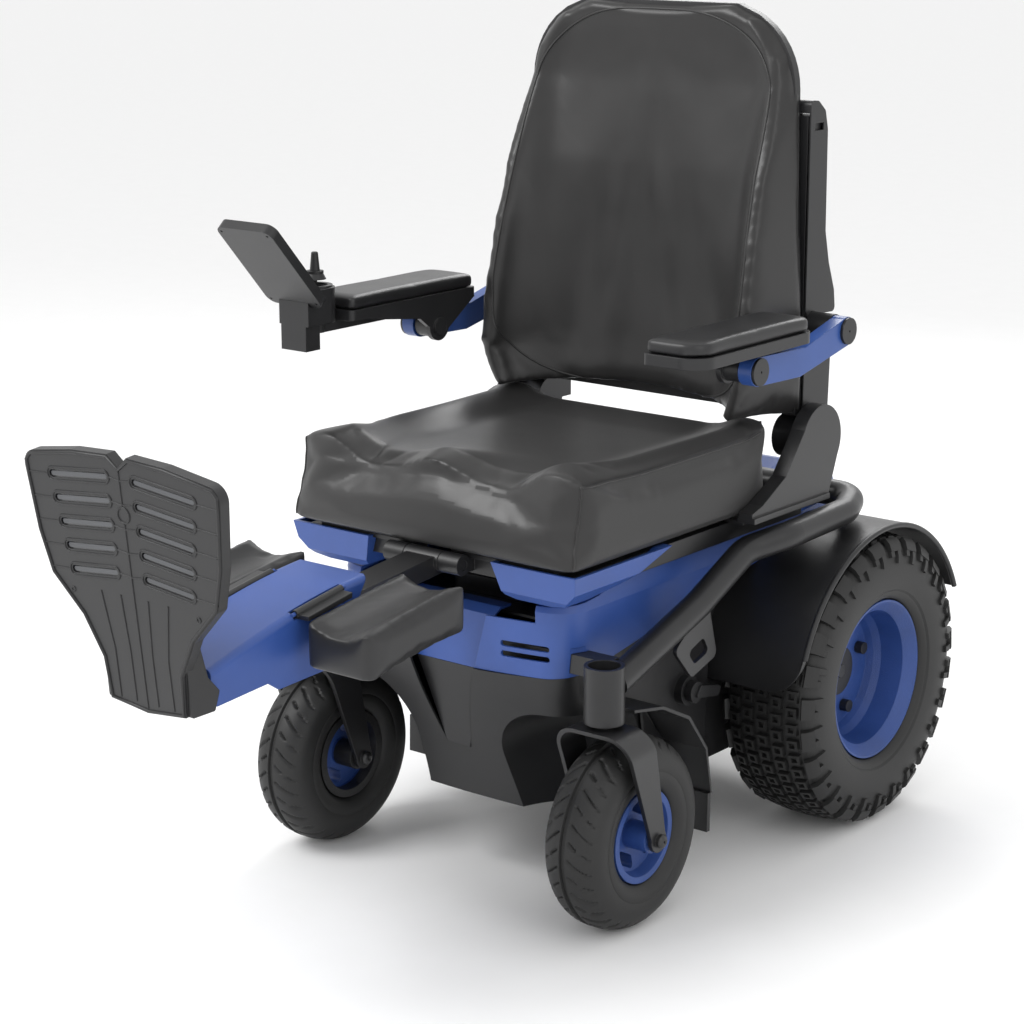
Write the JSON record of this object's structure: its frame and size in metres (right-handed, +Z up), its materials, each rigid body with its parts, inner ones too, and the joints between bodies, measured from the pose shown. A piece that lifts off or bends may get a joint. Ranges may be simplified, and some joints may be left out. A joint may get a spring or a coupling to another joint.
{
  "type": "power wheelchair",
  "caption": "Powered wheelchair with drive wheels, swivel casters, lifting and reclining seat, armrests, joystick control and folding legrest.",
  "frame": {"origin": "on the floor, at the middle of the chair's footprint", "axes": "+X the rider's left, +Y rearward, +Z up"},
  "size_m": [0.67, 1.3708, 1.168],
  "materials": {
    "chassis": "satin black powder coat",
    "tube": "semi-matte black powder coat",
    "black_shell": "fine-grained moulded plastic",
    "blue_cover": "fine-grained moulded plastic",
    "bracket": "satin black powder coat",
    "battery": "moulded plastic",
    "motor": "cast, bead-blasted",
    "column": "dark anodised",
    "upholstery": "soft synthetic leather",
    "arm_pad": "soft moulded foam skin",
    "control": "fine-grained moulded plastic",
    "screen": "glossy dark glass",
    "button": "matte",
    "bright": "brushed",
    "soft_grip": "matte",
    "tyre": "moulded tread",
    "blue_rim": "textured powder coat",
    "hub": "satin black",
    "blue_metal": "smooth powder coat"
  },
  "bodies": {
    "base": {"base_tray": "chassis", "frame_hoop": "tube", "swivel_beam": "chassis", "lower_shell": "black_shell", "front_panel": "black_shell", "middle_covers": "blue_cover", "side_cover_left": "blue_cover", "side_cover_right": "blue_cover", "top_deck": "black_shell", "rear_fenders": "black_shell", "caster_guards": "black_shell", "tie_down_rings": "bracket", "batteries": "battery", "drive_motors": "motor", "controller": "battery", "column_outer": "column"},
    "lift_middle": {"column_middle": "column"},
    "seat": {"column_inner": "column", "seat_frame": "chassis", "seat_covers": "blue_cover", "seat_cushion": "upholstery", "recline_brackets": "bracket"},
    "back": {"back_frame": "chassis", "post_covers": "black_shell", "back_shell": "upholstery", "back_cushion": "upholstery"},
    "lever_left": {"freewheel_lever_left": "control"},
    "caster_fork_left": {"caster_fork_left": "bracket"},
    "caster_wheel_left": {"caster_tyre_left": "tyre", "caster_rim_left": "blue_rim"},
    "drive_wheel_left": {"drive_tyre_left": "tyre", "drive_rim_left": "blue_rim", "drive_hub_left": "hub"},
    "arm_left": {"arm_link_left": "blue_metal"},
    "pad_left": {"arm_tray_left": "control", "arm_cushion_left": "arm_pad"},
    "calf_left": {"calf_hinge_left": "bracket", "calf_pad_left": "arm_pad"},
    "lever_right": {"freewheel_lever_right": "control"},
    "caster_fork_right": {"caster_fork_right": "bracket"},
    "caster_wheel_right": {"caster_tyre_right": "tyre", "caster_rim_right": "blue_rim"},
    "drive_wheel_right": {"drive_tyre_right": "tyre", "drive_rim_right": "blue_rim", "drive_hub_right": "hub"},
    "arm_right": {"arm_link_right": "blue_metal"},
    "pad_right": {"arm_tray_right": "control", "arm_cushion_right": "arm_pad"},
    "calf_right": {"calf_hinge_right": "bracket", "calf_pad_right": "arm_pad"},
    "control": {"control_pod": "control", "display_case": "control", "display_glass": "screen"},
    "power_button": {"power_button": "button"},
    "mode_button": {"mode_button": "button"},
    "gimbal": {"gimbal_ring": "bright"},
    "stick": {"joystick": "soft_grip"},
    "legrest_arm": {"legrest_arm": "bracket"},
    "legrest_shell": {"legrest_shell": "blue_cover"},
    "footplate": {"footplate": "black_shell"}
  },
  "joints": [
    {"name": "freewheel_left", "type": "hinge", "parent": "base", "child": "lever_left", "pos_m": [0.2045, 0.1664, 0.252], "axis": [1, 0, 0], "range_deg": [0, 60]},
    {"name": "caster_swivel_left", "type": "hinge", "parent": "base", "child": "caster_fork_left", "pos_m": [0.2537, -0.1006, 0.3], "axis": [0, 0, 1], "continuous": true},
    {"name": "caster_roll_left", "type": "hinge", "parent": "caster_fork_left", "child": "caster_wheel_left", "pos_m": [0.2537, -0.0596, 0.13], "axis": [1, 0, 0], "continuous": true},
    {"name": "drive_roll_left", "type": "hinge", "parent": "base", "child": "drive_wheel_left", "pos_m": [0.26, 0.4714, 0.214], "axis": [1, 0, 0], "continuous": true},
    {"name": "freewheel_right", "type": "hinge", "parent": "base", "child": "lever_right", "pos_m": [-0.2045, 0.1664, 0.252], "axis": [1, 0, 0], "range_deg": [0, 60]},
    {"name": "caster_swivel_right", "type": "hinge", "parent": "base", "child": "caster_fork_right", "pos_m": [-0.2537, -0.1006, 0.3], "axis": [0, 0, 1], "continuous": true},
    {"name": "caster_roll_right", "type": "hinge", "parent": "caster_fork_right", "child": "caster_wheel_right", "pos_m": [-0.2537, -0.0596, 0.13], "axis": [1, 0, 0], "continuous": true},
    {"name": "drive_roll_right", "type": "hinge", "parent": "base", "child": "drive_wheel_right", "pos_m": [-0.26, 0.4714, 0.214], "axis": [1, 0, 0], "continuous": true},
    {"name": "lift_middle", "type": "slide", "parent": "base", "child": "lift_middle", "axis": [0, 0, 1], "range_m": [0, 0.125]},
    {"name": "lift_seat", "type": "slide", "parent": "lift_middle", "child": "seat", "axis": [0, 0, 1], "range_m": [0, 0.125]},
    {"name": "recline", "type": "hinge", "parent": "seat", "child": "back", "pos_m": [0, 0.3834, 0.575], "axis": [-1, 0, 0], "range_deg": [0, 70]},
    {"name": "armrest_flip_left", "type": "hinge", "parent": "back", "child": "arm_left", "pos_m": [0.289, 0.3924, 0.731], "axis": [-1, 0, 0], "range_deg": [0, 80]},
    {"name": "pad_tilt_left", "type": "hinge", "parent": "arm_left", "child": "pad_left", "pos_m": [0.289, 0.1724, 0.708], "axis": [1, 0, 0], "range_deg": [-8, 20]},
    {"name": "armrest_flip_right", "type": "hinge", "parent": "back", "child": "arm_right", "pos_m": [-0.289, 0.3924, 0.731], "axis": [-1, 0, 0], "range_deg": [0, 80]},
    {"name": "pad_tilt_right", "type": "hinge", "parent": "arm_right", "child": "pad_right", "pos_m": [-0.289, 0.1724, 0.708], "axis": [1, 0, 0], "range_deg": [-8, 20]},
    {"name": "control_swing", "type": "hinge", "parent": "pad_right", "child": "control", "pos_m": [-0.286, -0.0436, 0.743], "axis": [0, 0, -1], "range_deg": [0, 60]},
    {"name": "power_button_press", "type": "slide", "parent": "control", "child": "power_button", "axis": [0, -0.7431, -0.6691], "range_m": [0, 0.0015], "stiffness_N_per_m": 400},
    {"name": "mode_button_press", "type": "slide", "parent": "control", "child": "mode_button", "axis": [0, -0.7431, -0.6691], "range_m": [0, 0.0015], "stiffness_N_per_m": 400},
    {"name": "stick_pitch", "type": "hinge", "parent": "control", "child": "gimbal", "pos_m": [-0.286, -0.0436, 0.783], "axis": [1, 0, 0], "range_deg": [-15, 15], "stiffness_Nm_per_rad": 0.3},
    {"name": "stick_roll", "type": "hinge", "parent": "gimbal", "child": "stick", "pos_m": [-0.286, -0.0436, 0.783], "axis": [0, 1, 0], "range_deg": [-15, 15], "stiffness_Nm_per_rad": 0.3},
    {"name": "legrest_lift", "type": "hinge", "parent": "seat", "child": "legrest_arm", "pos_m": [0, -0.1496, 0.475], "axis": [1, 0, 0], "range_deg": [0, 65]},
    {"name": "legrest_extension", "type": "slide", "parent": "legrest_arm", "child": "legrest_shell", "axis": [0, 0.9954, 0.0958], "range_m": [0, 0.08]},
    {"name": "footplate_fold", "type": "hinge", "parent": "legrest_shell", "child": "footplate", "pos_m": [0, -0.6196, 0.425], "axis": [1, 0, 0], "range_deg": [-30, 25]},
    {"name": "calf_fold_left", "type": "hinge", "parent": "legrest_shell", "child": "calf_left", "pos_m": [0.0585, -0.4206, 0.489], "axis": [0, -0.9871, -0.1599], "range_deg": [0, 90]},
    {"name": "calf_fold_right", "type": "hinge", "parent": "legrest_shell", "child": "calf_right", "pos_m": [-0.0585, -0.4206, 0.489], "axis": [0, 0.9871, 0.1599], "range_deg": [0, 90]}
  ],
  "couplings": [
    {"joint": "lift_seat", "follows": "lift_middle", "ratio": 1},
    {"joint": "legrest_extension", "follows": "legrest_lift", "m_per_rad": 0.0705}
  ]
}
